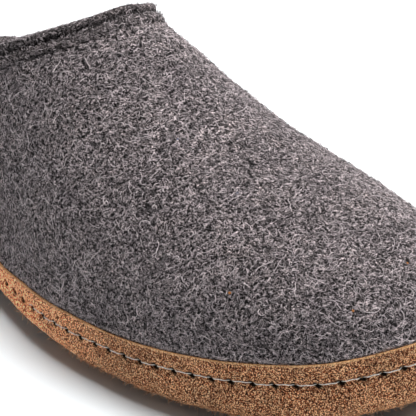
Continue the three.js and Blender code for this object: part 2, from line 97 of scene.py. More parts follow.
# Share of LENGTH: height of the ridge, its place across, fullness of the outer and inner side
LAST = np.array([
    (0.15, 1.339, -0.1, 2.18, 1.92),
    (0.3, 1.298, -0.14, 2.18, 1.92),
    (0.45, 1.177, -0.18, 2.18, 1.92),
    (0.585, 0.96, -0.155, 2.26, 1.86),
    (0.66, 0.798, -0.136, 2.41, 1.92),
    (0.74, 0.692, -0.115, 2.5, 1.99),
    (0.82, 0.629, -0.088, 2.4, 2.15),
    (0.9, 0.598, -0.05, 2.4, 2.3),
    (1, 0.564, 0, 2.4, 2.4),
])
HEIGHT, RIDGE, OUTER_FULL, INNER_FULL = 1, 2, 3, 4

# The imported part's origin is the middle of its footprint.
SHIFT = np.array([-0.465, -139.821, 0.0])
MM = 0.001
RING = 1400  # fineness of the outline's own table


def mix(a, b, t):
    return a + (b - a) * t


def smooth(value):
    t = np.clip(value, 0, 1)
    return t * t * (3 - 2 * t)


def fade(value, start, end):
    """Smoothly from 0 at start to 1 at end, rising or falling."""
    return smooth((value - start) / (end - start))


def unit(v, least=0.0):
    """Directions of length 1, but for what is shorter than least."""
    return v / np.maximum(np.linalg.norm(v, axis=-1), least)[..., None]


def evenly(points, count):
    """Points spaced evenly along a line, and the line's length."""
    run = np.concatenate([[0], np.cumsum(np.linalg.norm(np.diff(points, axis=0), axis=1))])
    at = np.linspace(0, run[-1], count)
    return np.stack([np.interp(at, run, column) for column in points.T], 1), run[-1]


def from_table(column, along):
    """A smooth value between the rows of LAST, as the part works it out."""
    along = np.asarray(along, float)
    last = len(LAST) - 1
    i = np.clip(np.searchsorted(LAST[:, 0], along, side="left") - 1, 0, last - 1)
    rows = [LAST[np.clip(i + k, 0, last)] for k in (-1, 0, 1, 2)]
    p0, p1, p2, p3 = [(r[..., 0], r[..., column]) for r in rows]
    span = p2[0] - p1[0]
    t = np.clip((along - p1[0]) / span, 0, 1)

    def slope(a, b):
        run = np.where(b[0] == a[0], 1, b[0] - a[0])
        return np.where(b[0] == a[0], 0, (b[1] - a[1]) / run)

    m1 = slope(p0, p2) * span
    m2 = slope(p1, p3) * span
    t2, t3 = t * t, t * t * t
    return (2 * t3 - 3 * t2 + 1) * p1[1] + (t3 - 2 * t2 + t) * m1 \
        + (3 * t2 - 2 * t3) * p2[1] + (t3 - t2) * m2


def outline_table():
    """The stitched line as many points with their outward directions, evenly spaced."""
    radius = HEEL_WIDTH / 2
    turns = np.pi * np.arange(9) / 8
    heel = np.stack([-radius * np.cos(turns), radius * (1 - np.sin(turns))], 1)
    front = np.array([(x * BALL_WIDTH, y * LENGTH) for y, x in OUTLINE])
    points = np.concatenate([heel[4:], front, heel[:4]])
    fine = []
    count = len(points)
    for i in range(count):
        p0, p1, p2, p3 = [points[(i + k) % count] for k in (-1, 0, 1, 2)]
        d0, d1, d2 = [np.linalg.norm(b - a) ** 0.5 for a, b in ((p0, p1), (p1, p2), (p2, p3))]
        t1 = ((p1 - p0) / d0 - (p2 - p0) / (d0 + d1) + (p2 - p1) / d1) * d1
        t2 = ((p2 - p1) / d1 - (p3 - p1) / (d1 + d2) + (p3 - p2) / d2) * d1
        t = np.linspace(0, 1, 60, endpoint=False)[:, None]
        fine.append(p1 + t1 * t + (-3 * p1 + 3 * p2 - 2 * t1 - t2) * t ** 2
                    + (2 * p1 - 2 * p2 + t1 + t2) * t ** 3)
    fine = np.concatenate(fine)
    table, perimeter = evenly(np.vstack([fine, fine[:1]]), RING * 4 + 1)
    step = np.roll(table[:-1], -1, 0) - np.roll(table[:-1], 1, 0)
    out = np.stack([step[:, 1], -step[:, 0]], 1)
    return table[:-1], unit(out), perimeter


EDGE, EDGE_OUT, PERIMETER = outline_table()


def edge_at(share):
    """Point and outward direction of the stitched line at a share of its way round."""
    count = len(EDGE)
    place = (np.asarray(share) % 1) * count
    i = np.floor(place).astype(int) % count
    f = (place - np.floor(place))[..., None]
    at = mix(EDGE[i], EDGE[(i + 1) % count], f)
    out = mix(EDGE_OUT[i], EDGE_OUT[(i + 1) % count], f)
    return at, unit(out)


def underside(y):
    along = y / LENGTH
    arch = np.clip((along - HEEL_FLAT_TO) / (BALL_FLAT_FROM - HEEL_FLAT_TO), 0, 1)
    toe = np.clip((along - BALL_FLAT_TO) / (1 - BALL_FLAT_TO), 0, 1)
    return ARCH_LIFT * np.sin(np.pi * arch) ** 2 + TOE_SPRING * toe * toe


def toe_share(y):
    t = np.clip((y / LENGTH - TOE_RISE_FROM) / (1 - TOE_RISE_FROM), 0, 1)
    return (smooth(t) + t * t) / 2


def stitch_line(y):
    return STITCH_HEIGHT + STITCH_TOE_RISE * toe_share(y)


def lip_top(y):
    return stitch_line(y) + LIP_HEIGHT + LIP_TOE_EXTRA * toe_share(y)


def felt_foot(y):
    return underside(y) + SOLE_TOP + CLEARANCE


def springing(y):
    return lip_top(y) - SPRINGING_DROP


class Sides:
    """The outline moved in: its tip, and its x on both sides at any y."""

    def __init__(self, inset):
        moved = EDGE - EDGE_OUT * inset
        tip = int(np.argmax(moved[:, 1]))
        self.tip = moved[tip]
        self.outer_side = moved[:tip + 1]
        self.inner_side = moved[tip:][::-1]

    @staticmethod
    def across(side, y):
        order = np.argsort(side[:, 1], kind="stable")
        return np.interp(y, side[order, 1], side[order, 0])

    def outer(self, y):
        return self.across(self.outer_side, y)

    def inner(self, y):
        return self.across(self.inner_side, y)


FEATHER_INSET = BAND_THICKNESS + BAND_LEAN + CLEARANCE + FACET_BOW
FEATHER = Sides(FEATHER_INSET)
TIP_X, TIP_Y = FEATHER.tip


def ridge_height(y):
    full = INSTEP_HEIGHT * from_table(HEIGHT, y / LENGTH)
    start = TOE_CAP_FROM * LENGTH
    t = np.clip((y - start) / (TIP_Y - start), 0, 1)
    rounding = (1 - t ** TOE_CAP_FULLNESS) ** (1 / TOE_CAP_FULLNESS)
    return springing(y) + (full - springing(y)) * rounding


def section(y):
    along = y / LENGTH
    outer, inner = FEATHER.outer(y), FEATHER.inner(y)
    half = (outer - inner) / 2
    ridge = (outer + inner) / 2 + from_table(RIDGE, along) * half
    base = springing(y)
    return (ridge, outer - ridge, ridge - inner, base, ridge_height(y) - base,
            from_table(OUTER_FULL, along), from_table(INNER_FULL, along))


def skin_point(y, angle):
    """Outside of the felt at y, for an angle from the outer side over the ridge to the inner."""
    ridge, wide_out, wide_in, base, rise, full_out, full_in = section(y)
    c, h = np.cos(angle), np.sin(angle)
    full = np.where(c >= 0, full_out, full_in)
    width = np.where(c >= 0, wide_out, wide_in)
    reach = (np.abs(c) ** full + np.abs(h) ** full) ** (-1 / full)
    return np.stack([ridge + width * c * reach, y + 0 * c, base + rise * h * reach], -1)


def fill(p):
    ridge, wide_out, wide_in, base, rise, full_out, full_in = section(p[..., 1])
    outer = p[..., 0] >= ridge
    width = np.maximum(np.where(outer, wide_out, wide_in), 1e-3)
    across = np.abs(p[..., 0] - ridge) / width
    up = np.maximum(0, p[..., 2] - base) / np.maximum(rise, 1e-3)
    full = np.where(outer, full_out, full_in)
    return (across ** full + up ** full) ** (1 / full)


def skin_normal(p):
    step = 0.05
    slopes = []
    for axis in range(3):
        move = np.zeros(3)
        move[axis] = step
        slopes.append(fill(p + move) - fill(p - move))
    n = np.stack(slopes, -1)
    low = p[..., 2] - section(p[..., 1])[3] < step
    n[..., 2] = np.where(low, 0, n[..., 2])
    return unit(n, 1e-9)


def collar_at(angle):
    turn = np.abs(angle - math.pi / 2) / (math.pi / 2)
    return mix(COLLAR_FRONT, COLLAR_END, turn ** COLLAR_POWER)


def lumps(points, size, seed):
    """Smooth seeded unevenness between -1 and 1 with lumps of that size."""
    grid = np.random.default_rng(seed).uniform(-1, 1, (24, 24, 24))
    q = points / size + 100.37
    low = np.floor(q).astype(int)
    f = q - low
    f = f * f * (3 - 2 * f)
    low %= 24
    high = (low + 1) % 24
    total = 0
    for ix, wx in ((low[..., 0], 1 - f[..., 0]), (high[..., 0], f[..., 0])):
        for iy, wy in ((low[..., 1], 1 - f[..., 1]), (high[..., 1], f[..., 1])):
            for iz, wz in ((low[..., 2], 1 - f[..., 2]), (high[..., 2], f[..., 2])):
                total = total + grid[ix, iy, iz] * wx * wy * wz
    return total


def lumpy(points, layers):
    """Unevenness from layers of (rise, size of the lumps, seed)."""
    return sum(rise * lumps(points, size, seed) for rise, size, seed in layers)


# Meshes

def mesh_object(name, points, quads, tris=None, values=None):
    """A mesh object from points in millimetres and index arrays, with named values per point."""
    mesh = bpy.data.meshes.new(name)
    given = [a for a in (quads, tris) if a is not None and len(a)]
    parts = [(np.asarray(a, np.int32), a.shape[1]) for a in given]
    co = ((points + SHIFT) * MM).astype(np.float32)
    mesh.vertices.add(len(co))
    mesh.vertices.foreach_set("co", co.ravel())
    loops = np.concatenate([a.ravel() for a, _ in parts])
    sizes = np.concatenate([np.full(len(a), n, np.int32) for a, n in parts])
    starts = np.concatenate([[0], np.cumsum(sizes)[:-1]]).astype(np.int32)
    mesh.loops.add(len(loops))
    mesh.loops.foreach_set("vertex_index", loops)
    mesh.polygons.add(len(sizes))
    mesh.polygons.foreach_set("loop_start", starts)
    mesh.polygons.foreach_set("use_smooth", np.ones(len(sizes), bool))
    mesh.update(calc_edges=True)
    mesh.validate()
    for key, value in (values or {}).items():
        attribute = mesh.attributes.new(key, "FLOAT", "POINT")
        attribute.data.foreach_set("value", np.asarray(value, np.float32).ravel())
    made = bpy.data.objects.new(name, mesh)
    SCENE.collection.objects.link(made)
    return made


def tube_quads(rows, columns, closed_rows=False):
    """Faces of a grid of points whose columns close on themselves."""
    r = np.arange(rows if closed_rows else rows - 1)[:, None]
    c = np.arange(columns)[None, :]
    n, m = (r + 1) % rows, (c + 1) % columns
    quads = np.stack([r * columns + c, r * columns + m, n * columns + m, n * columns + c], -1)
    return quads.reshape(-1, 4)


def ladder(loop, steps, height):
    """Points and faces that close a loop with rungs from point i to point count - 1 - i."""
    count = len(loop)
    rungs = count // 2
    i = np.arange(rungs)
    t = np.linspace(0, 1, steps + 1)[None, :, None]
    grid = mix(loop[i][:, None], loop[count - 1 - i][:, None], t)
    grid[:, 1:-1, 2] = height(grid[:, 1:-1])
    index = np.arange(rungs * (steps + 1)).reshape(rungs, steps + 1)
    quads = np.stack([index[:-1, :-1], index[1:, :-1], index[1:, 1:], index[:-1, 1:]], -1)
    return grid.reshape(-1, 3), quads.reshape(-1, 4)


def weld(points, quads, values=None):
    """Merges equal points and drops what is left without area."""
    keys, first, inverse = np.unique(
        np.round(points, 4), axis=0, return_index=True, return_inverse=True)
    quads = inverse.reshape(-1)[quads]
    tris, kept = [], []
    for q in quads:
        corners = list(dict.fromkeys(q.tolist()))
        if len(corners) == 4:
            kept.append(corners)
        elif len(corners) == 3:
            tris.append(corners)
    kept = np.array(kept, np.int32).reshape(-1, 4)
    made = (keys, kept, np.array(tris, np.int32).reshape(-1, 3))
    return made if values is None else (*made, values[first])


# Felt upper

FOOT_BULGE = 1.3
BULGE_OVER_LIP = 0.6
BULGE_SPREAD = 2.6
FELT_LUMPS = ((0.55, 42, 11), (0.26, 13, 12), (0.17, 4.2, 13))
LINING_LUMPS = 0.5  # share of the outside's unevenness that shows inside
QUIET_OVER_LIP = 7
QUIET_OFF_COLLAR = 14
UPPER_ROWS = 170
UPPER_ANGLES = 180

# The cut edge is worn lower at the toe and along the waist. Fades run along y, (start, end).
TOE_WORN, WAIST_WORN = 0.75, 1.4
TOE_WEAR, WAIST_WEAR = (195, 215), (173, 157)
# The band's lower edge draws up between heel and ball.
WAIST_RISE = 2.1
WAIST_FROM, WAIST_TO = (60, 100), (203, 177)


def lip_shown(y):
    """The band's cut edge as it is worn."""
    return lip_top(y) - TOE_WORN * fade(y, *TOE_WEAR) - WAIST_WORN * fade(y, *WAIST_WEAR)


def waist(y):
    """How far the band's lower edge is drawn up."""
    return WAIST_RISE * fade(y, *WAIST_TO) * fade(y, *WAIST_FROM)


def foot_bulge(p):
    """How far the felt swells out over the band's cut edge."""
    over = p[..., 2] - lip_shown(p[..., 1]) - BULGE_OVER_LIP
    return FOOT_BULGE * np.exp(-(over / BULGE_SPREAD) ** 2)


def make_upper():
    shares = np.sin(np.linspace(0, 1, UPPER_ROWS + 1) * math.pi / 2)
    angles = np.linspace(0, math.pi, UPPER_ANGLES + 1)
    y = mix(collar_at(angles)[None, :], TIP_Y, shares[:, None])
    outside = skin_point(y, np.broadcast_to(angles[None, :], y.shape))
    outside[-1] = (TIP_X, TIP_Y, springing(TIP_Y))
    normal = skin_normal(outside)
    normal[-1] = (0, 1, 0)
    inside = outside - normal * UPPER_WALL
    # the felt lies quiet where another piece touches it
    over_lip = (outside[..., 2] - lip_shown(outside[..., 1])) / QUIET_OVER_LIP
    from_collar = (y - collar_at(angles)[None, :]) / QUIET_OFF_COLLAR
    quiet = smooth(over_lip) * smooth(from_collar)
    swell = foot_bulge(outside) * smooth(from_collar)
    lifted = outside + normal * (lumpy(outside, FELT_LUMPS) * quiet + swell)[..., None]
    lined = inside + normal * (LINING_LUMPS * (lumpy(inside, FELT_LUMPS) * quiet))[..., None]

    def foot(p):
        q = p.copy()
        q[..., 2] = felt_foot(p[..., 1])
        return q

    loops = np.concatenate([
        foot(outside[:, :1]), lifted, foot(outside[:, -1:]),
        foot(inside[:, -1:]), lined[:, ::-1], foot(inside[:, :1]),
    ], 1)
    rows, columns = loops.shape[:2]
    quads = tube_quads(rows, columns)[:, ::-1]
    half = columns // 2
    i = np.arange(half - 1)
    ends = np.stack([i, i + 1, columns - 2 - i, columns - 1 - i], -1)
    points, kept, tris = weld(loops.reshape(-1, 3), np.vstack([quads, ends[:, ::-1]]))
    made = mesh_object("felt_upper", points, kept, tris)
    return made, lifted, normal


# Folded felt strip round the collar

def settle(p):
    ridge, wide_out, wide_in, base, rise, _, _ = section(p[..., 1])
    width = np.where(p[..., 0] >= ridge, wide_out, wide_in)
    angle = np.arctan2(np.maximum(0, p[..., 2] - base) / rise, (p[..., 0] - ridge) / width)
    return skin_point(p[..., 1], angle)


# The sewn strip is pressed thinner than its solid: how far its parts stand off the wall.
STRIP_OFF = 0.85
BEAD_OFF = 1.5
# The bead grows fuller toward its ends, where bead and strip die away.
BEAD_FULLER, FULLER_AT = 1.1, (60, 48)
ENDING_AT = (COLLAR_END + 13, COLLAR_END + 1)
BEAD_LOST, STRIP_LOST = 0.72, 0.6
# Over the instep the strip is pressed flatter, below the groove.
PRESSED, PRESSED_AT, PRESSED_BELOW = 0.35, (144, 152), 1.5
BEAD_LUMPS = ((0.22, 9, 21), (0.13, 3, 22))
BINDING_STATIONS = 430
PROFILE_POINTS = 46
ROUNDED_STATIONS = 5
ROUNDED_TO = 0.9
# Painted shade along the strip's groove and under its foot: half widths, and the foot's share of
# darkness
GROOVE_LINE, FOOT_LINE, FOOT_SHARE = 0.75, 0.7, 0.9


def binding_profile():
    """Outside of the folded strip: down from the felt's edge, and off its outside."""
    flat = CLEARANCE + BINDING_THICKNESS
    groove = BEAD_DEPTH - flat
    foot = BINDING_DEPTH - flat
    knots = [
        (foot + 0.3, -0.15), (foot - 0.2, 0.22), (foot - 0.8, STRIP_OFF * 0.7),
        (foot - 1.6, STRIP_OFF), (groove + 1.6, STRIP_OFF), (groove + 0.8, STRIP_OFF * 0.9),
        (groove + 0.2, CLEARANCE + 0.12), (groove - 0.2, CLEARANCE + 0.2),
        (groove - 0.8, BEAD_OFF * 0.86), (groove - 1.5, BEAD_OFF), (-0.1, BEAD_OFF * 0.9),
        (-flat * 0.6, BEAD_OFF * 0.4), (-flat * 0.85, -UPPER_WALL * 0.13),
    ]
    return spline(np.array(knots, float), PROFILE_POINTS)


def spline(knots, count):
    """Evenly spaced points on a smooth curve through the knots."""
    padded = np.vstack([knots[:1], knots, knots[-1:]])
    fine = []
    for i in range(len(knots) - 1):
        p0, p1, p2, p3 = padded[i:i + 4]
        t = np.linspace(0, 1, 16, endpoint=False)[:, None]
        v0, v1 = (p2 - p0) / 2, (p3 - p1) / 2
        fine.append((2 * p1 - 2 * p2 + v0 + v1) * t ** 3
                    + (-3 * p1 + 3 * p2 - 2 * v0 - v1) * t ** 2 + v0 * t + p1)
    return evenly(np.vstack([*fine, knots[-1:]]), count)[0]


def binding_grid(angles, profile):
    """Points of the folded strip, for angles round the collar and its section's (down, off)."""
    step = 0.01

    def at_edge(a):
        return skin_point(collar_at(a), a)

    at = at_edge(angles)
    run = unit(at_edge(angles + step) - at_edge(angles - step))
    down = unit(np.cross(run, skin_normal(at)))
    down *= np.where(down[:, 1:2] < 0, -1, 1)
    room = (at[:, 2] - lip_top(at[:, 1]) - STRIP_OVER_BAND) / BINDING_DEPTH
    narrow = np.clip(room, STRIP_RUN_OUT, 1)[:, None]
    drop = profile[None, :, 0]
    y = at[:, 1:2]
    ending = fade(y, *ENDING_AT)
    fuller = (1 + BEAD_FULLER * fade(y, *FULLER_AT)) * (1 - BEAD_LOST * ending)
    drop = np.where(drop > 0, drop * narrow, drop * fuller)
    p = settle(at[:, None] + down[:, None] * drop[..., None])
    n = skin_normal(p)
    left = 1 - PRESSED * fade(y, *PRESSED_AT) * (drop > PRESSED_BELOW) - STRIP_LOST * ending
    off = profile[None, :, 1]
    off = np.where(off > 0, off * left, off)
    return p + n * off[..., None], n


def make_binding():
    outer = binding_profile()
    flat = CLEARANCE + BINDING_THICKNESS
    crown = np.array([[-flat, -UPPER_WALL / 2]])
    inner = outer[::-1] * [1, -1] - [0, UPPER_WALL]
    foot = BINDING_DEPTH - flat
    near = np.array([(foot, CLEARANCE), (foot / 2, CLEARANCE), (-CLEARANCE, CLEARANCE)])
    throat = np.array([[-CLEARANCE, -UPPER_WALL / 2]])
    channel = np.vstack([near * [1, -1] - [0, UPPER_WALL], throat, near[::-1]])
    profile = np.vstack([outer, crown, inner, channel])
    # the angle at which the strip just clears the band
    low = 0.0
    while True:
        points, _ = binding_grid(np.array([low]), outer)
        if (points[..., 2] - lip_top(points[..., 1])).min() >= STRIP_OVER_BAND or low > 1:
            break
        low += 0.005
    angles = np.linspace(math.pi - low, low, BINDING_STATIONS)
    grid, normal = binding_grid(angles, profile)
    # the rolled bead is a little uneven in width, and its groove a little uneven in depth
    count_out = len(outer) * 2 + 1
    shown = np.zeros(len(profile))
    shown[:count_out] = 1
    lift = lumpy(grid, BEAD_LUMPS) * shown[None, :]
    side = np.where(np.arange(len(profile)) <= len(outer), 1, -1)
    grid = grid + normal * (lift * side[None, :])[..., None]
    # the ends are drawn in a little
    middle = grid.mean(1, keepdims=True)
    for k in range(ROUNDED_STATIONS):
        kept_size = mix(ROUNDED_TO, 1, k / ROUNDED_STATIONS)
        for row in (k, BINDING_STATIONS - 1 - k):
            grid[row, :count_out] = mix(middle[row], grid[row], kept_size)[:count_out]
    rows, columns = grid.shape[:2]
    quads = tube_quads(rows, columns)
    # end faces between the outside and the channel
    channel_count = len(channel)
    caps = []
    for row, flip in ((0, True), (rows - 1, False)):
        base = row * columns
        for i in range(count_out - 1):
            a, b = base + i, base + i + 1
            share = [round((i + s) / (count_out - 1) * (channel_count - 1)) for s in (0, 1)]
            c, d = [base + columns - 1 - s for s in share]
            caps.append((b, a, c, d) if flip else (a, b, d, c))
    groove = BEAD_DEPTH - flat
    # painted shade along the strip's groove and under its foot, kept per point for the felt
    # material
    groove_and_foot_shade = np.exp(-((profile[:, 0] - groove) / GROOVE_LINE) ** 2)
    groove_and_foot_shade = groove_and_foot_shade + FOOT_SHARE * np.exp(-((profile[:, 0] - foot) / FOOT_LINE) ** 2)
    groove_and_foot_shade = np.minimum(groove_and_foot_shade, 1) * shown
    points, kept, tris, values = weld(grid.reshape(-1, 3), np.vstack([quads, np.array(caps)]),
                                      np.tile(groove_and_foot_shade, rows))
    made = mesh_object("collar_binding_felt", points, kept, tris, {"groove_and_foot_shade": values})
    return made, grid[:, :count_out], normal[:, :count_out] * side[None, :count_out, None]


# Suede band

LIP_LEFT = 0.6  # thickness of the band at its cut edge
LIP_THINS_TO = 0.15  # share of the section over which it reaches its full thickness
STITCHES = round(PERIMETER / 5.93)
STITCH_PITCH = PERIMETER / STITCHES
STITCH_START = 2.31
STITCH_WANDER = 0.3  # the holes are made by hand, not quite evenly
STITCH_AT = 0.25  # share of the section at which the stitched line lies
HOLE_LENGTH = 1.15
HOLE_WIDTH = 0.58
HOLE_DEPTH = 1.2
HOLE_SLANT = 0.5
CREASE_DEPTH, CREASE_WIDTH = 0.32, 0.9
PUCKER_DEPTH, PUCKER_WIDTH = 0.12, 2.2
LIP_WAVE, LIP_WAVE_SIZE, LIP_WAVE_TO = 0.2, 4.5, 0.1
SWELL, SWELL_SIZE = 0.09, 5
NAP_DEPTH, NAP_SIZE = 0.06, 1.7
RAGGED, RAGGED_FROM, RAGGED_RUN = 0.38, 0.5, 0.2  # the nap grows ragged toward the lower edge
CUT_STEPS = (0.12, 0.5, 0.88)
CUT_ROUNDING = 0.22
BACK_ROWS = 9
BACK_MARK, CUT_MARK = 1.5, -1  # values of "across" on the back and on the cut edge
STEPS_PER_STITCH = 12

THREAD_STEPS, THREAD_SIDES, THREAD_RADIUS = 12, 6, 0.135
THREAD_REACH = (0.02, 0.98)
THREAD_SAG = (0.15, 0.6)
THREAD_DEEP, THREAD_SHALLOW = 1.2, 0.04
THREAD_DIVE = 0.27  # share of a stitch over which the thread dives into its hole
# Along the waist the threads lie sunk in the crease.
THREAD_SUNK, SUNK_FROM, SUNK_TO = 0.58, (90, 110), (180, 172)


def holes_along():
    """Where each hole lies along the stitched line, and where the one after it does."""
    wander = np.random.default_rng(40).uniform(-STITCH_WANDER, STITCH_WANDER, STITCHES)
    at = STITCH_START + STITCH_PITCH * np.arange(STITCHES) + wander
    return at, np.append(at[1:], at[0] + PERIMETER)


def band_knots(y):
    floor = underside(y) + waist(y)
    stitch = stitch_line(y)
    tall = stitch - floor
    zero = np.zeros_like(y)
    return [np.stack(pair, -1) for pair in (
        (zero - BAND_LEAN, lip_shown(y)),
        (zero, stitch),
        (zero + BAND_BULGE, floor + tall * BAND_BULGE_AT),
        (zero - BAND_ROLL_IN, floor + BAND_GROUND + BAND_ROLL_UP),
        (zero - BAND_TUCK, floor + BAND_GROUND),
    )]


def band_outside(y, share):
    """Place across and up of the band's outside, and its direction inward, at a share 0 to 1."""
    knots = band_knots(y)
    padded = [knots[0], *knots, knots[-1]]
    place = np.clip(np.full(len(y), share) * 4, 0, 4 - 1e-9)
    i = np.floor(place).astype(int)
    t = (place - i)[..., None]
    stack = np.stack(padded, 0)
    column = np.arange(len(y))
    p0, p1, p2, p3 = [stack[i + k, column] for k in range(4)]
    v0, v1 = (p2 - p0) / 2, (p3 - p1) / 2
    a, b = 2 * p1 - 2 * p2 + v0 + v1, -3 * p1 + 3 * p2 - 2 * v0 - v1
    at = a * t ** 3 + b * t ** 2 + v0 * t + p1
    run = unit(3 * a * t ** 2 + 2 * b * t + v0)
    return at, np.stack([run[..., 1], -run[..., 0]], -1)


def make_band():
    u = np.arange(STEPS_PER_STITCH) / STEPS_PER_STITCH
    u = u - 0.5 * np.sin(2 * np.pi * u) / (2 * np.pi)
    this_hole, next_hole = [a[:, None] for a in holes_along()]
    run = mix(this_hole, next_hole, u[None, :])
    along_hole = np.where(u[None, :] < 0.5, run - this_hole, run - next_hole).ravel()
    at, out = edge_at(run.ravel() / PERIMETER)
    y = at[:, 1]
    # places down the section, close together at the stitched line
    fine = np.concatenate([
        np.linspace(0.0, 0.17, 7), np.linspace(0.185, 0.31, 11), np.linspace(0.335, 0.6, 11),
        np.linspace(0.63, 1.0, 9),
    ])
    rows, holes, faces = [], [], []
    stitch_place, _ = band_outside(y, STITCH_AT)
    c, s = math.cos(HOLE_SLANT), math.sin(HOLE_SLANT)
    pucker = 0.5 + 0.5 * np.cos(2 * np.pi * along_hole / STITCH_PITCH)
    for share in fine:
        place, inward = band_outside(y, share)
        drop = np.linalg.norm(place - stitch_place, axis=1) * np.sign(share - STITCH_AT)
        du = along_hole * c + drop * s
        dv = -along_hole * s + drop * c
        hole = np.exp(-(du / HOLE_LENGTH) ** 2 - (dv / HOLE_WIDTH) ** 2)
        depth = HOLE_DEPTH * hole + CREASE_DEPTH * np.exp(-(drop / CREASE_WIDTH) ** 2)
        depth = depth + PUCKER_DEPTH * pucker * np.exp(-(drop / PUCKER_WIDTH) ** 2)
        p3 = np.column_stack([at, place[:, 1]])
        wave = lumps(p3, LIP_WAVE_SIZE, 33) * smooth(1 - share / LIP_WAVE_TO)
        place = place + np.array([0, LIP_WAVE]) * wave[:, None]
        ragged = smooth((share - RAGGED_FROM) / RAGGED_RUN) * RAGGED
        depth = depth - SWELL * lumps(p3, SWELL_SIZE, 31)
        depth = depth - (NAP_DEPTH + ragged) * lumps(p3, NAP_SIZE, 32)
        q = place + inward * depth[:, None]
        rows.append(np.column_stack([at + out * q[:, :1], q[:, 1]]))
        faces.append(-np.column_stack([out * inward[:, :1], inward[:, 1]]))
        holes.append(hole)
    # back of the band, and its two cut edges with broken corners
    top, under = [], []
    for share in (0.0, 1.0):
        for f in CUT_STEPS:
            place, inward = band_outside(y, share)
            run_out = CUT_ROUNDING * (1 - (2 * f - 1) ** 2) ** 0.5
            sign = 1 if share == 0 else -1
            tangent = np.stack([-inward[:, 1], inward[:, 0]], -1)
            thick = LIP_LEFT if share == 0 else BAND_THICKNESS
            q = place + inward * thick * f + tangent * run_out * sign * thick / BAND_THICKNESS
            row = np.column_stack([at + out * q[:, :1], q[:, 1]])
            (top if share == 0 else under).append(row)
    back = []
    for share in np.linspace(1, 0, BACK_ROWS):
        place, inward = band_outside(y, share)
        q = place + inward * mix(LIP_LEFT, BAND_THICKNESS, smooth(share / LIP_THINS_TO))
        back.append(np.column_stack([at + out * q[:, :1], q[:, 1]]))
    grid = np.stack([*rows, *under, *back, *top[::-1]], 1)
    extra = grid.shape[1] - len(rows)
    # the holes' shape, which the suede material paints as shade
    hole_shade_values = np.concatenate([np.stack(holes, 1), np.zeros((len(y), extra))], 1)
    across = np.concatenate([fine, np.full(extra, BACK_MARK)])
    across[-len(top):] = CUT_MARK
    across = np.broadcast_to(across[None, :], grid.shape[:2])
    quads = tube_quads(*grid.shape[:2], closed_rows=True)
    made = mesh_object("suede_band", grid.reshape(-1, 3), quads,
                       values={"hole": hole_shade_values, "across": across})
    return made, np.stack(rows, 1), np.stack(faces, 1)


def make_threads():
    """The visible stitches: a thin thread from each hole to the next."""
    steps = THREAD_STEPS
    t = np.linspace(0, 1, steps)
    this_hole, next_hole = [a[:, None] for a in holes_along()]
    run = mix(this_hole, next_hole, mix(*THREAD_REACH, t)[None, :])
    at, out = edge_at(run.ravel() / PERIMETER)
    y = at[:, 1]
    place, inward = band_outside(y, STITCH_AT)
    rng = np.random.default_rng(41)
    sag = np.repeat(rng.uniform(*THREAD_SAG, STITCHES), steps)
    sag = sag * np.tile(np.sin(np.pi * t), STITCHES)
    ends = np.tile(np.clip(np.minimum(t, 1 - t) / THREAD_DIVE, 0, 1), STITCHES)
    sunk = THREAD_SUNK * fade(y, *SUNK_TO) * fade(y, *SUNK_FROM)
    depth = mix(THREAD_DEEP, THREAD_SHALLOW, smooth(ends)) + sunk
    down = np.stack([inward[:, 1], -inward[:, 0]], -1)
    q = place + inward * depth[:, None] + down * sag[:, None]
    points = np.column_stack([at + out * q[:, :1], q[:, 1]]).reshape(STITCHES, steps, 3)
    tone = np.repeat(rng.uniform(0, 1, STITCHES), steps).reshape(STITCHES, steps)
    return tubes("stitch_thread", points, THREAD_RADIUS, THREAD_SIDES, tone)


def tubes(name, paths, radius, sides, tone, up=None):
    """One mesh of many thin tubes along paths (count, points, 3), pointed at both ends."""
    count, steps = paths.shape[:2]
    run = unit(np.gradient(paths, axis=1), 1e-9)
    if up is None:
        up = np.array([0.0, 0.0, 1.0])
    side = unit(np.cross(run, up), 1e-6)
    lift = np.cross(side, run)
    turn = 2 * np.pi * np.arange(sides) / sides
    ring = side[:, :, None] * np.cos(turn)[None, None, :, None] \
        + lift[:, :, None] * np.sin(turn)[None, None, :, None]
    radius = np.broadcast_to(radius, (count, steps))[:, 1:-1]
    walls = paths[:, 1:-1, None] + ring[:, 1:-1] * radius[..., None, None]
    inner = steps - 2
    per = inner * sides + 2
    points = np.concatenate([walls.reshape(count, -1, 3), paths[:, :1], paths[:, -1:]], 1)
    quads = tube_quads(inner, sides)
    k = np.arange(sides)
    first = np.stack([np.full(sides, per - 2), (k + 1) % sides, k], -1)
    base = (inner - 1) * sides
    last = np.stack([np.full(sides, per - 1), base + k, base + (k + 1) % sides], -1)
    offset = (np.arange(count) * per)[:, None, None]
    quads = (quads[None] + offset).reshape(-1, 4)
    tris = (np.vstack([first, last])[None] + offset).reshape(-1, 3)
    tones = np.concatenate([np.repeat(tone[:, 1:-1], sides, 1), tone[:, :1], tone[:, -1:]], 1)
    return mesh_object(name, points.reshape(-1, 3), quads, tris, {"tone": tones})


# Footbed

FOOTBED_POINTS = 480
ROUNDING_LOOPS = 6
BED_RUNGS, BASE_RUNGS = 60, 24
BED_LUMPS = ((0.12, 6, 51), (0.1, 2.6, 52))
CUP_SLOPE = [
    (INSOLE_ROUNDING, 1.0), (HEEL_RIM_WIDTH, CUP_SHOULDER), (CUP_WIDTH - 3, 0.12), (CUP_WIDTH, 0.0),
]


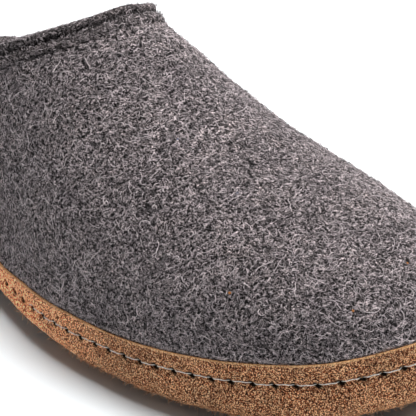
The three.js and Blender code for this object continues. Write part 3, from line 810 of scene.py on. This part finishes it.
def make_footbed():
    low = FEATHER_INSET + UPPER_WALL + CLEARANCE + FACET_BOW * 2
    wide = FEATHER_INSET
    widens = COLLAR_END - CLEARANCE - FACET_BOW * 2
    widened = widens - (low - wide)

    def inset(y):
        return mix(wide, low, np.clip((y - widened) / (widens - widened), 0, 1))

    def top(y):
        return felt_foot(y) + INSOLE_THICKNESS

    def rim(y):
        return mix(top(y), lip_top(y) + HEEL_RIM, smooth((widened - y) / HEEL_RIM_RUN))

    at, out = edge_at((np.arange(FOOTBED_POINTS) + 0.5) / FOOTBED_POINTS)

    def loop(extra, height):
        moved = at - out * (inset(at[:, 1]) + extra)[:, None]
        return np.column_stack([moved, height(moved[:, 1])])

    r = INSOLE_ROUNDING
    turns = np.linspace(0, math.pi / 2, ROUNDING_LOOPS)
    curves = [(r * (1 - math.sin(a)), r * (1 - math.cos(a))) for a in turns]
    loops = [loop(off, lambda v, up=up: felt_foot(v) + up) for off, up in curves]
    loops += [loop(off, lambda v, down=down: rim(v) - down) for down, off in curves]
    slope = spline(np.array(CUP_SLOPE), 12)
    loops += [loop(e, lambda v, s=s: mix(top(v), rim(v), s)) for e, s in slope[1:]]
    grid = np.stack(loops)
    # the felt's own unevenness on what shows
    grid[ROUNDING_LOOPS:, :, 2] += lumpy(grid, BED_LUMPS)[ROUNDING_LOOPS:]
    rows, columns = grid.shape[:2]
    wall = tube_quads(rows, columns)
    base_points, base_quads = ladder(grid[0], BASE_RUNGS, lambda p: felt_foot(p[..., 1]))
    top_points, top_quads = ladder(
        grid[-1], BED_RUNGS, lambda p: top(p[..., 1]) + lumpy(p, BED_LUMPS))
    points = np.vstack([grid.reshape(-1, 3), base_points, top_points])
    quads = np.vstack([
        wall, base_quads[:, ::-1] + rows * columns,
        top_quads + rows * columns + len(base_points),
    ])
    points, kept, tris = weld(points, quads)
    return mesh_object("felt_footbed", points, kept, tris)


# Loose fibres

def scatter(grid, normal, count, rng, weight=None):
    """Random places on a grid of points, evenly over its area, with their outward directions."""
    a, b, c = grid[:-1, :-1], grid[1:, :-1], grid[:-1, 1:]
    area = np.linalg.norm(np.cross(b - a, c - a), axis=2)
    if weight is not None:
        area = area * weight(a)
    chance = area.ravel() / area.sum()
    pick = rng.choice(len(chance), count, p=chance)
    i, j = np.unravel_index(pick, area.shape)
    u, v = rng.random((2, count, 1))
    place = grid[i, j] + (grid[i + 1, j] - grid[i, j]) * u + (grid[i, j + 1] - grid[i, j]) * v
    return place, normal[i, j]


SHORTEST = 0.6  # the least share of its drawn length that a fibre has
ROOT_DEPTH = 0.12
FREE_BEND, FREE_LIFT, LYING_LIFT = 1.3, 1.6, 1.1


def fibres(name, place, normal, rng, length, lift, radius, curl, segments, free):
    """Curled fibres on a surface. length, lift and radius are (least, most) in millimetres."""
    count = len(place)
    helper = rng.normal(size=(count, 3))
    side = unit(np.cross(normal, helper), 1e-6)
    other = np.cross(normal, side)
    steps = segments + 1
    long = rng.uniform(*length, count) * rng.uniform(SHORTEST, 1, count)
    turn = rng.normal(0, curl, (count, steps)) + rng.normal(0, curl * 0.8, (count, 1))
    heading = np.cumsum(turn, 1)
    step = (long / segments)[:, None]
    x = np.cumsum(np.cos(heading) * step, 1)
    y = np.cumsum(np.sin(heading) * step, 1)
    x -= x.mean(1, keepdims=True)
    y -= y.mean(1, keepdims=True)
    t = np.linspace(0, 1, steps)[None, :]
    high = rng.uniform(*lift, count)[:, None]
    loose = rng.random((count, 1)) < free
    free_end = high * t ** FREE_BEND * FREE_LIFT
    h = np.where(loose, free_end, high * np.sin(np.pi * t) * LYING_LIFT) - ROOT_DEPTH
    paths = (place[:, None] + side[:, None] * x[..., None] + other[:, None] * y[..., None]
             + normal[:, None] * h[..., None])
    thick = rng.uniform(*radius, count)[:, None] * np.ones((1, steps))
    tone = np.repeat(rng.random(count)[:, None], steps, 1)
    return tubes(name, paths, thick, 3, tone, up=normal[:, None])


# Materials

def linear(r, g, b):
    """Linear colour from 0 to 255 screen values."""
    def one(v):
        v /= 255
        return v / 12.92 if v <= 0.04045 else ((v + 0.055) / 1.055) ** 2.4
    return (one(r), one(g), one(b), 1.0)


class Nodes:
    """Short calls for building a node material."""

    def __init__(self, name):
        self.material = bpy.data.materials.new(name)
        self.material.use_nodes = True
        self.tree = self.material.node_tree
        self.shader = self.tree.nodes["Principled BSDF"]
        self.coords = self.add("ShaderNodeTexCoord").outputs["Object"]

    def put(self, socket, value):
        if isinstance(value, bpy.types.NodeSocket):
            self.tree.links.new(value, socket)
        else:
            socket.default_value = value

    def add(self, kind, inputs=None, **settings):
        """A new node with its inputs linked or set, by name or number."""
        node = self.tree.nodes.new(kind)
        for key, value in settings.items():
            setattr(node, key, value)
        for key, value in (inputs or {}).items():
            self.put(node.inputs[key], value)
        return node

    def noise(self, scale, detail=2.0, rough=0.5, coords=None, distortion=0.0, output="Fac"):
        return self.add("ShaderNodeTexNoise", {
            "Vector": coords or self.coords, "Scale": scale, "Detail": detail,
            "Roughness": rough, "Distortion": distortion,
        }, noise_type="FBM").outputs[output]

    def math(self, operation, a, b=0.0):
        return self.add("ShaderNodeMath", {0: a, 1: b}, operation=operation).outputs[0]

    def times(self, a, b):
        return self.math("MULTIPLY", a, b)

    def vectors(self, operation, a, b):
        return self.add("ShaderNodeVectorMath", {0: a, 1: b}, operation=operation).outputs[0]

    def split(self, kind, value):
        return self.add(kind, {0: value}).outputs

    def warp(self, amount, scale, detail=2.0):
        """The object's coordinates pushed about by noise."""
        colour = self.noise(scale, detail, output="Color")
        centred = self.vectors("SUBTRACT", colour, (0.5, 0.5, 0.5))
        push = self.add("ShaderNodeVectorMath", {0: centred, "Scale": amount}, operation="SCALE")
        return self.vectors("ADD", self.coords, push.outputs[0])

    def moved(self, by):
        """The object's coordinates with an offset, for a pattern of its own."""
        return self.vectors("ADD", self.coords, by)

    def drawn_out(self, coords, turn, tilt, stretch, by):
        """Coordinates drawn out along one direction, for strands that lie that way."""
        return self.add("ShaderNodeMapping", {
            "Vector": coords, "Location": (by, by * 1.7, by * 2.3),
            "Rotation": (0, math.radians(tilt), math.radians(turn)), "Scale": (stretch, 1, 1),
        }, vector_type="TEXTURE").outputs["Vector"]

    def ramp(self, value, stops):
        node = self.add("ShaderNodeValToRGB", {"Fac": value})
        elements = node.color_ramp.elements
        while len(elements) < len(stops):
            elements.new(0.5)
        for element, (position, colour) in zip(elements, stops):
            element.position = position
            element.color = colour if len(colour) == 4 else (*colour, 1)
        return node.outputs["Color"]

    def level(self, value, low, high, to_low=0.0, to_high=1.0):
        return self.add("ShaderNodeMapRange", {
            "Value": value, "From Min": low, "From Max": high, "To Min": to_low, "To Max": to_high,
        }, clamp=True).outputs["Result"]

    def contour(self, field, wide, narrow):
        """Thin lines along which a noise crosses its middle."""
        off = self.math("ABSOLUTE", self.math("SUBTRACT", field, 0.5))
        return self.level(off, wide, narrow)

    def blend(self, factor, a, b, how="MIX"):
        node = self.add("ShaderNodeMix", data_type="RGBA", blend_type=how)
        self.put(node.inputs["Factor"], factor)
        sockets = [s for s in node.inputs if s.type == "RGBA"]
        self.put(sockets[0], a)
        self.put(sockets[1], b)
        return [s for s in node.outputs if s.type == "RGBA"][0]

    def tint(self, a, b):
        return self.blend(1.0, a, b, "MULTIPLY")

    def value_of(self, name):
        return self.add("ShaderNodeAttribute", attribute_name=name).outputs["Fac"]

    def bump(self, height, distance, strength=1.0):
        return self.add("ShaderNodeBump", {
            "Height": height, "Distance": distance, "Strength": strength,
        }).outputs["Normal"]

    def finish(self, colour, normal=None, roughness=1.0, **sockets):
        self.put(self.shader.inputs["Base Color"], colour)
        self.put(self.shader.inputs["Roughness"], roughness)
        if normal is not None:
            self.put(self.shader.inputs["Normal"], normal)
        for key, value in sockets.items():
            self.shader.inputs[key.replace("_", " ")].default_value = value
        return self.material


def grey(level, warm=1.0):
    """A felt grey, a little warmer or cooler."""
    return linear(level * (1 + 0.04 * warm), level * (1 - 0.022 * warm), level * (1 - 0.012 * warm))


def felt_material(name, tone=1.0, flecks=True, groove_and_foot_shade=False):
    """Wool felt: tangled light strands over dark gaps, in soft patches, with rare flecks."""
    n = Nodes(name)
    tangle = None
    wavy = n.warp(0.0016, 160, 2)
    for turn, tilt, scale, width, bright in (
        (8, 5, 2000, 0.06, 1.0), (42, -35, 2350, 0.065, 0.9), (78, 8, 2150, 0.065, 0.95),
        (112, -32, 2700, 0.07, 0.85), (150, 28, 2350, 0.065, 1.0), (62, 38, 2900, 0.07, 0.8),
    ):
        lying = n.drawn_out(wavy, turn, tilt, 6, turn / 50)
        field = n.noise(scale, 1, 0.5, lying)
        line = n.contour(field, width, width * 0.25)
        other = n.drawn_out(wavy, turn, tilt, 3, 2 + turn / 50)
        fade = n.level(n.noise(scale * 0.6, 1, 0.5, other), 0.46, 0.58, 0.0, bright)
        line = n.times(line, fade)
        tangle = line if tangle is None else n.math("MAXIMUM", tangle, line)
    grain = n.noise(3500, 1, 0.6)
    ground = n.level(grain, 0.42, 0.62, 0.0, 0.32)
    both = n.math("MAXIMUM", tangle, ground)
    tones = n.ramp(both, [
        (0.0, grey(3 * tone)), (0.25, grey(17 * tone)), (0.5, grey(60 * tone)),
        (0.75, grey(130 * tone)), (1.0, grey(262 * tone)),
    ])
    patches = n.noise(75, 3, 0.55)
    small = n.noise(330, 2, 0.55, n.moved((0.2, 0.4, 0.1)))
    shade = n.math("ADD", n.times(patches, 0.5), n.times(small, 0.5))
    cloud = n.ramp(n.level(shade, 0.34, 0.66), [
        (0.0, (0.7, 0.68, 0.7)), (0.5, (1.01, 0.99, 0.99)), (1.0, (1.3, 1.25, 1.22)),
    ])
    colour = n.tint(tones, cloud)
    if flecks:
        brown, blue = linear(196, 126, 62), linear(92, 110, 150)
        for seed, fleck, size in ((0.0, brown, 0.05), (0.37, blue, 0.04)):
            offset = n.moved((seed, seed * 2, seed * 3))
            spots = n.add("ShaderNodeTexVoronoi", {"Vector": offset, "Scale": 95}).outputs
            chance = n.split("ShaderNodeSeparateColor", spots["Color"])[0]
            rare = n.math("GREATER_THAN", chance, 0.55)
            near = n.level(spots["Distance"], size, size * 0.6)
            colour = n.blend(n.times(near, rare), colour, fleck)
    # painted shade: darker along the strip's groove and under its foot
    if groove_and_foot_shade:
        dark = n.math("SUBTRACT", 1.0, n.times(n.value_of("groove_and_foot_shade"), 0.85))
        colour = n.tint(colour, dark)
    normal = n.bump(both, 0.0005, 0.8)
    return n.finish(colour, normal, 1.0, Sheen_Weight=0.08, Sheen_Roughness=0.6,
                    Sheen_Tint=linear(200, 190, 190), Specular_IOR_Level=0.1)


def fibre_material(name, dark, light):
    n = Nodes(name)
    colour = n.ramp(n.value_of("tone"), [(0.0, dark), (1.0, light)])
    return n.finish(colour, None, 0.8, Sheen_Weight=0.3, Sheen_Roughness=0.5,
                    Specular_IOR_Level=0.3)


def suede_material():
    """Napped suede: fine light nubs over dark pores, a lighter cut edge brightened with a painted
    highlight, and needle holes darkened with painted shade.
    """
    n = Nodes("suede")
    nubs = n.noise(3000, 1, 0.6)
    curls = n.noise(2300, 1.5, 0.5, n.moved((0.3, 0.1, 0.7)), distortion=0.6)
    lines = n.contour(curls, 0.09, 0.02)
    pores = n.level(n.noise(2200, 1.5, 0.6, n.moved((0.5, 0.9, 0.2))), 0.42, 0.48)
    speckle = n.math("ADD", n.level(nubs, 0.46, 0.55, 0.0, 0.75), n.times(lines, 0.25))
    speckle = n.times(speckle, n.math("ADD", n.times(pores, 0.6), 0.4))
    tones = n.ramp(speckle, [
        (0.0, linear(16, 5, 3)), (0.28, linear(116, 58, 36)), (0.5, linear(228, 131, 84)),
        (0.7, linear(255, 194, 140)), (1.0, linear(255, 228, 188)),
    ])
    patches = n.noise(120, 3, 0.6)
    cloud = n.ramp(n.level(patches, 0.3, 0.7), [
        (0.0, (0.87, 0.83, 0.8)), (1.0, (1.22, 1.15, 1.1)),
    ])
    colour = n.tint(tones, cloud)
    # paler along the side behind the ball
    x, y, _ = n.split("ShaderNodeSeparateXYZ", n.coords)
    paler_part = n.times(n.level(y, 0.075, 0.03), n.level(y, -0.04, 0.01))
    paler_part = n.times(paler_part, n.level(x, 0.0, 0.02))
    colour = n.blend(paler_part, colour, n.tint(colour, (2.5, 2.3, 2.25, 1)))
    across = n.value_of("across")
    # lighter cut edge along the top of the outside: partly its own colour, partly a painted
    # highlight on its top corner
    edge = n.level(across, 0.036, 0.026)
    fibrous = n.level(nubs, 0.4, 0.6)
    pale_cut_and_highlight = n.ramp(fibrous, [(0.0, linear(236, 156, 100)), (1.0, linear(255, 216, 164))])
    colour = n.blend(n.times(edge, n.level(nubs, 0.38, 0.52, 0.35, 1.0)), colour, pale_cut_and_highlight)
    # the cut face: partly its own lighter colour, partly a painted highlight
    cut = n.level(across, -0.3, -0.9)
    cut_tones_and_highlight = [(0.0, linear(226, 152, 98)), (1.0, linear(255, 208, 156))]
    colour = n.blend(cut, colour, n.ramp(fibrous, cut_tones_and_highlight))
    under = n.level(across, 0.62, 0.78)
    colour = n.blend(n.times(under, 0.5), colour, linear(222, 160, 112))
    # painted shade: the needle holes are coloured near black for the shade inside them
    hole = n.level(n.value_of("hole"), 0.16, 0.4)
    colour = n.blend(hole, colour, linear(10, 7, 6))
    normal = n.bump(speckle, 0.00035, 0.8)
    return n.finish(colour, normal, 0.95, Sheen_Weight=0.2, Sheen_Roughness=0.5,
                    Sheen_Tint=linear(235, 190, 150), Specular_IOR_Level=0.1)


def thread_material():
    n = Nodes("thread")
    twist = n.noise(1800, 2, 0.5)
    colour = n.ramp(twist, [(0.3, linear(206, 192, 182)), (0.6, linear(255, 250, 244))])
    return n.finish(colour, n.bump(twist, 0.0001), 0.7, Specular_IOR_Level=0.3)


def rubber_material():
    n = Nodes("rubber")
    grain = n.noise(1400, 3, 0.6)
    dust = n.noise(60, 3, 0.6)
    colour = n.ramp(dust, [(0.3, linear(60, 62, 66)), (0.7, linear(78, 81, 86))])
    return n.finish(colour, n.bump(grain, 0.00012, 0.6), 0.75, Specular_IOR_Level=0.35)


def paint(obj, material):
    obj.data.materials.clear()
    obj.data.materials.append(material)


# Pieces

upper, upper_skin, upper_normal = make_upper()
binding, binding_skin, binding_normal = make_binding()
band, band_skin, band_normal = make_band()
threads = make_threads()
footbed = make_footbed()

felt = felt_material("felt", 0.84)
paint(upper, felt)
paint(binding, felt_material("binding_felt", 0.72, False, True))
paint(footbed, felt_material("footbed_felt", 0.82, False))
paint(band, suede_material())
paint(threads, thread_material())
paint(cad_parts["sole"], rubber_material())

rng = np.random.default_rng(7)
share = 1.0
wool = fibre_material("wool_fibre", grey(42), grey(242))


def above_band(p):
    return (p[..., 2] > lip_shown(p[..., 1]) + 0.3).astype(float)


def at_foot(p):
    over = p[..., 2] - lip_shown(p[..., 1])
    return ((over > -0.3) & (over < 1.2)).astype(float)


def toward_edges(p):
    """More of the suede's nap at its lower edge."""
    return 0.25 + 3.2 * fade(p[..., 2], 7, 4)


def lower_edge(p):
    """Only the ragged edge turned in under the sole."""
    return (p[..., 2] < underside(p[..., 1]) + waist(p[..., 1]) + 5).astype(float)


on_upper, on_band = (upper_skin, upper_normal), (band_skin, band_normal)
on_binding = (binding_skin, binding_normal)
grown = []
# name, skin, count, where on it; length, lift and radius in millimetres, curl, segments, share free
for name, skin, count, where, *shape in (
    ("upper_fibres_short", on_upper, 13000, above_band,
     (0.9, 2.4), (0.12, 0.7), (0.045, 0.09), 0.5, 3, 0.35),
    ("upper_fibres_curled", on_upper, 6200, above_band,
     (1.6, 3.4), (0.15, 0.5), (0.045, 0.09), 0.55, 5, 0.25),
    ("upper_fibres_long", on_upper, 1300, above_band,
     (3.5, 8.0), (0.25, 0.6), (0.045, 0.09), 0.28, 8, 0.1),
    ("upper_fibres_foot", on_upper, 3000, at_foot,
     (0.6, 1.5), (0.1, 0.45), (0.05, 0.09), 0.5, 3, 0.5),
    ("binding_fibres", on_binding, 5200, None,
     (0.8, 2.2), (0.2, 0.9), (0.04, 0.08), 0.6, 3, 0.6),
    ("suede_nap", on_band, 5200, toward_edges,
     (0.5, 1.4), (0.15, 0.65), (0.04, 0.085), 0.5, 3, 0.7),
    ("suede_edge_fibres", on_band, 2600, lower_edge,
     (0.7, 1.8), (0.4, 1.1), (0.045, 0.09), 0.6, 3, 0.9),
):
    place, out = scatter(*skin, int(count * share), rng, where)
    grown.append(fibres(name, place, out, rng, *shape))
suede_fibre = fibre_material("suede_fibre", linear(120, 76, 50), linear(246, 196, 152))
for pieces, material, slot in (
    (grown[5:], suede_fibre, "suede"),
    (grown[:5], wool, "upper_felt"),
):
    for piece in pieces:
        paint(piece, material)
        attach(piece, "root")

for piece, node, slot in (
    (upper, "upper", "upper_felt"),
    (binding, "collar_binding", "upper_felt"),
    (band, "band", "suede"),
    (footbed, "insole", "footbed_felt"),
):
    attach(piece, "root")
    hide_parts(node)
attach(threads, "root")

# Floor, light and camera

floor_mesh = bpy.data.meshes.new("floor")
half = 4.0
corners = [(-half, -half, 0), (half, -half, 0), (half, half, 0), (-half, half, 0)]
floor_mesh.from_pydata(corners, [], [(0, 1, 2, 3)])
floor = bpy.data.objects.new("floor", floor_mesh)
SCENE.collection.objects.link(floor)
n = Nodes("floor")
white = n.ramp(n.noise(3, 2), [(0.0, (0.89, 0.93, 0.953)), (1.0, (0.91, 0.945, 0.967))])
paint(floor, n.finish(white, None, 0.9, Specular_IOR_Level=0.1))

world = bpy.data.worlds.new("studio")
SCENE.world = world
world.use_nodes = True
background = world.node_tree.nodes["Background"].inputs
background["Color"].default_value = (1, 1, 1, 1)
background["Strength"].default_value = 0.14

CAMERA_AZIMUTH = math.radians(35.06)
CAMERA_ELEVATION = math.radians(26.97)
CAMERA_ROLL = math.radians(-3.463)
CAMERA_DISTANCE = 0.9
CAMERA_AIM = Vector((0.001640, 0.057876, 0.03282))
FOCAL_PIXELS = 3308.7
PICTURE_PIXELS = 416
SENSOR = 36.0


def toward(azimuth, elevation):
    """Direction at an azimuth from the toe toward the outer side, in radians."""
    flat = math.cos(elevation)
    return Vector((math.sin(azimuth) * flat, math.cos(azimuth) * flat, math.sin(elevation)))


def area_light(name, azimuth, elevation, distance, size, power):
    lamp = bpy.data.lights.new(name, "AREA")
    lamp.shape = "DISK"
    lamp.size = size
    lamp.energy = power
    made = bpy.data.objects.new(name, lamp)
    direction = toward(math.radians(azimuth), math.radians(elevation))
    made.location = CAMERA_AIM + direction * distance
    made.rotation_euler = direction.to_track_quat("Z", "Y").to_euler()
    SCENE.collection.objects.link(made)


area_light("key", 258, 57, 1.6, 1.2, 26.5)
area_light("top", 248, 78, 1.7, 1.2, 29)

camera_data = bpy.data.cameras.new("camera")
camera_data.sensor_width = SENSOR
camera_data.lens = FOCAL_PIXELS * SENSOR / PICTURE_PIXELS
camera_data.clip_start = 0.01
camera = bpy.data.objects.new("camera", camera_data)
back = toward(CAMERA_AZIMUTH, CAMERA_ELEVATION)
right = Vector((0, 0, 1)).cross(back).normalized()
up = back.cross(right)
right_rolled = right * math.cos(CAMERA_ROLL) + up * math.sin(CAMERA_ROLL)
up_rolled = up * math.cos(CAMERA_ROLL) - right * math.sin(CAMERA_ROLL)
turned = Matrix((right_rolled, up_rolled, back)).transposed().to_4x4()
turned.translation = CAMERA_AIM + back * CAMERA_DISTANCE
camera.matrix_world = turned
SCENE.collection.objects.link(camera)
SCENE.camera = camera
SCENE.view_settings.view_transform = "Standard"
SCENE.view_settings.look = "None"
